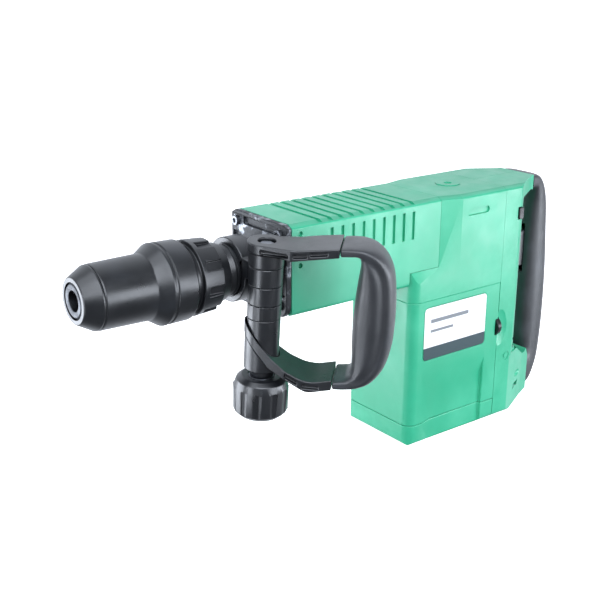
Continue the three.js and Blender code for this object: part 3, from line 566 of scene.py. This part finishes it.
def build_housing():
    """The front plate, the covers and the two halves of the rear housing."""
    refined("front_plate", CASTING, bevel=0.9, segments=3)
    for i in range(1, 5):
        refined(f"plate_screw_{i}", BRIGHT, bevel=0.4)
    refined("barrel_cover", bevel=0.6, clamp=True, merge_flats=False)
    refined("gear_cover", bevel=0.9, segments=3, clamp=True)
    refined("motor_housing", bevel=0.9, segments=3)
    refined("base_cap", bevel=0.9, segments=3)
    refined("grease_cap", bevel=0.5)
    refined("label_plate", bevel=0.3)
    dial_scoop = ellipsoid_mesh("dial_scoop", (477, -53.6, -113), (13.5, 5.8, 26))
    refined("rear_housing_left", segments=3, clamp=True, cutters=[dial_scoop, *rear_hollows(LEFT)])
    refined("rear_housing_right", segments=3, clamp=True, cutters=rear_hollows(RIGHT))


def rear_hollows(side):
    """Slots at the hand opening's lower corner, and the lower arm's scoop, slot and screw groove."""
    def across(name, outline, near, far):
        return prism_mesh(name, outline, *sorted((side * near, side * far)))

    half = 1.5
    slots = [across("slot", box_points(502.4, 512, z - half, z + half), 44, 56)
             for z in (-133, -140.5, -148)]
    scoop = ellipsoid_mesh("scoop", (531, side * 40.5, -183), (12, 6.5, 5.5))
    lip = across("lip", [(515, -199.5), (517, -193.5), (531, -192.6), (529, -198.6)], 31, 50)
    inner, outer, floor, top = 3.0, 5.2, -49.6, -52
    ring = [(top, inner), (top, outer), (floor, outer), (floor, inner)]
    sideways = Matrix.Rotation(-side * math.pi / 2, 4, "Z")
    groove = lathe_mesh("groove", ring, TOOL @ Matrix.Translation((490, 0, -149)) @ sideways)
    return [*slots, scoop, lip, groove]


# ---------------------------------------------------------------- rear handle


def build_rear_handle():
    """The rear grip with its trigger slot, and the controls and the cord's gland."""
    grip = two_rail("rear_grip", [
        (545.3, 44.2, 545.3, 28.8, 25.2, 5.5, 0),
        (556, 43.6, 550.6, 28.5, 24.2, 4.6, 0),
        (567.5, 37.8, 554.4, 24, 22.6, 3.2, 0),
        (577.8, 25.5, 555.3, 12, 21.2, 2.7, 0),
        (584.6, 6, 555.1, -2, 20.3, 2.5, 0),
        (589, -25, 555, -26, 19.8, 2.4, 0),
        (593, -60, 555, -60, 19.6, 2.4, 0),
        (595, -95, 555, -95, 19.6, 2.4, 0),
        (595, -130, 555, -128, 19.8, 2.4, 0),
        (592.4, -160, 555.4, -152, 20.2, 2.5, 0),
        (587.2, -184, 557.2, -166, 20.8, 2.8, 0),
        (577, -202, 558.1, -172, 22.0, 3.4, 0),
        (567, -211, 558.4, -174.6, 23.0, 4.4, 0),
        (558.4, -213.4, 558.4, -176, 23.4, 5.0, 0),
    ], TOOL)
    slot = prism_mesh("trigger_slot", box_points(540, 575, -74, -16, 3), -8.6, 8.6)
    add("rear_grip_visual", carved(grip, [slot]), "housing", SOFT, ["rear_grip"], GRIP_SHARP)
    refined("trigger", BLACK, bevel=1.2, segments=3)
    refined("lock_button", SMALL_BLACK, bevel=0.7, segments=3)
    refined("speed_dial", SMALL_BLACK, bevel=0.6)
    refined("cord_gland", BLACK, bevel=0.6)


def finish_internals():
    """Every CAD node that still shows keeps its shape and takes a finished material."""
    for name, node in frame["nodes"].items():
        if node.hide_render:
            continue
        material = SPRING if name == "sleeve_spring" else SLOT_MATERIALS[SLOTS[name]]
        node.data.materials.clear()
        node.data.materials.append(material)


# ---------------------------------------------------------------- stage

DAYLIGHT = (0.92, 0.98, 1.08)
AIM = (-0.05, 0.0, 0.12)
BEHIND = (0.61, 0.79, 0.0)


def area_light(name, place, size, radiance):
    """A soft box of size (width, height) turned to the object, lit to the radiance given."""
    light = bpy.data.lights.new(name, "AREA")
    light.color = DAYLIGHT
    light.shape = "RECTANGLE"
    light.size, light.size_y = size
    light.energy = radiance * math.pi * size[0] * size[1]
    lamp = linked(name, light)
    lamp.location = place
    lamp.rotation_euler = (Vector(AIM) - Vector(place)).to_track_quat("-Z", "Y").to_euler()


def build_floor():
    """A white paper floor with a dome of the same paper over it, seen by the camera only."""
    half = 10.0
    corners = [(-half, -half, 0), (half, -half, 0), (half, half, 0), (-half, half, 0)]
    sheet = bpy.data.meshes.new("floor")
    sheet.from_pydata(corners, [], [(0, 1, 2, 3)])
    ball = bmesh.new()
    bmesh.ops.create_uvsphere(ball, u_segments=64, v_segments=32, radius=half)
    dome = bpy.data.meshes.new("dome")
    ball.to_mesh(dome)
    ball.free()
    paper = Shader("paper")
    white = paper.ramp(paper.noise(3.0), (0.3, (0.99, 0.99, 0.99, 1)), (0.7, (1.0, 1.0, 1.0, 1)))
    paper.link(white, paper.main.inputs["Emission Color"])
    paper.done(white, Roughness=0.9, Emission_Strength=1.0)
    for mesh in (sheet, dome):
        mesh.materials.append(paper.material)
        piece = linked(mesh.name, mesh)
        piece.visible_diffuse = piece.visible_glossy = piece.visible_shadow = False


def build_world():
    """A studio that is bright behind the object and dim on the other side."""
    world = bpy.data.worlds.new("studio")
    bpy.context.scene.world = world
    world.use_nodes = True
    nodes, links = world.node_tree.nodes, world.node_tree.links
    direction = nodes.new("ShaderNodeTexCoord").outputs["Generated"]
    facing = nodes.new("ShaderNodeVectorMath")
    facing.operation = "DOT_PRODUCT"
    facing.inputs[1].default_value = BEHIND
    links.new(direction, facing.inputs[0])
    strength = nodes.new("ShaderNodeMapRange")
    strength.interpolation_type = "SMOOTHSTEP"
    for socket, value in (("From Min", -0.1), ("From Max", 0.7), ("To Min", 0.18), ("To Max", 1.15)):
        strength.inputs[socket].default_value = value
    links.new(facing.outputs["Value"], strength.inputs["Value"])
    background = nodes["Background"]
    background.inputs["Color"].default_value = (*DAYLIGHT, 1.0)
    links.new(strength.outputs["Result"], background.inputs["Strength"])


def build_stage():
    """The floor, the studio round it and the soft boxes."""
    build_floor()
    build_world()
    area_light("side_high", (0.2, -1.12, 0.3), (0.95, 0.6), 4.6)
    area_light("side_level", (0.82, -0.9, 0.03), (0.6, 0.36), 9.5)
    area_light("front", (-1.0, 0.72, -0.02), (0.8, 0.8), 6.0)
    area_light("front_near", (-1.25, -0.15, 0.12), (0.35, 0.9), 5.5)
    area_light("above", (-0.85, 0.0, 1.1), (0.8, 0.8), 2.0)
    area_light("above_camera", (-0.75, -1.0, 1.1), (1.2, 1.2), 3.9)


def build_camera():
    """A camera at the photograph's place and angle."""
    data = bpy.data.cameras.new("camera")
    data.lens = 61.43
    data.sensor_width = 36.0
    data.sensor_fit = "AUTO"
    camera = linked("camera", data)
    right, up = Vector((0.7933, -0.6088, 0.0054)), Vector((0.1951, 0.2627, 0.9450))
    back = right.cross(up)
    turn = Matrix((right, up, back)).transposed().to_4x4()
    camera.matrix_world = Matrix.Translation((-0.7628, -0.7774, 0.5039)) @ turn
    bpy.context.scene.camera = camera
    bpy.context.scene.view_settings.view_transform = "Standard"


build_chuck()
build_side_handle()
build_housing()
build_rear_handle()
finish_internals()
build_stage()
build_camera()
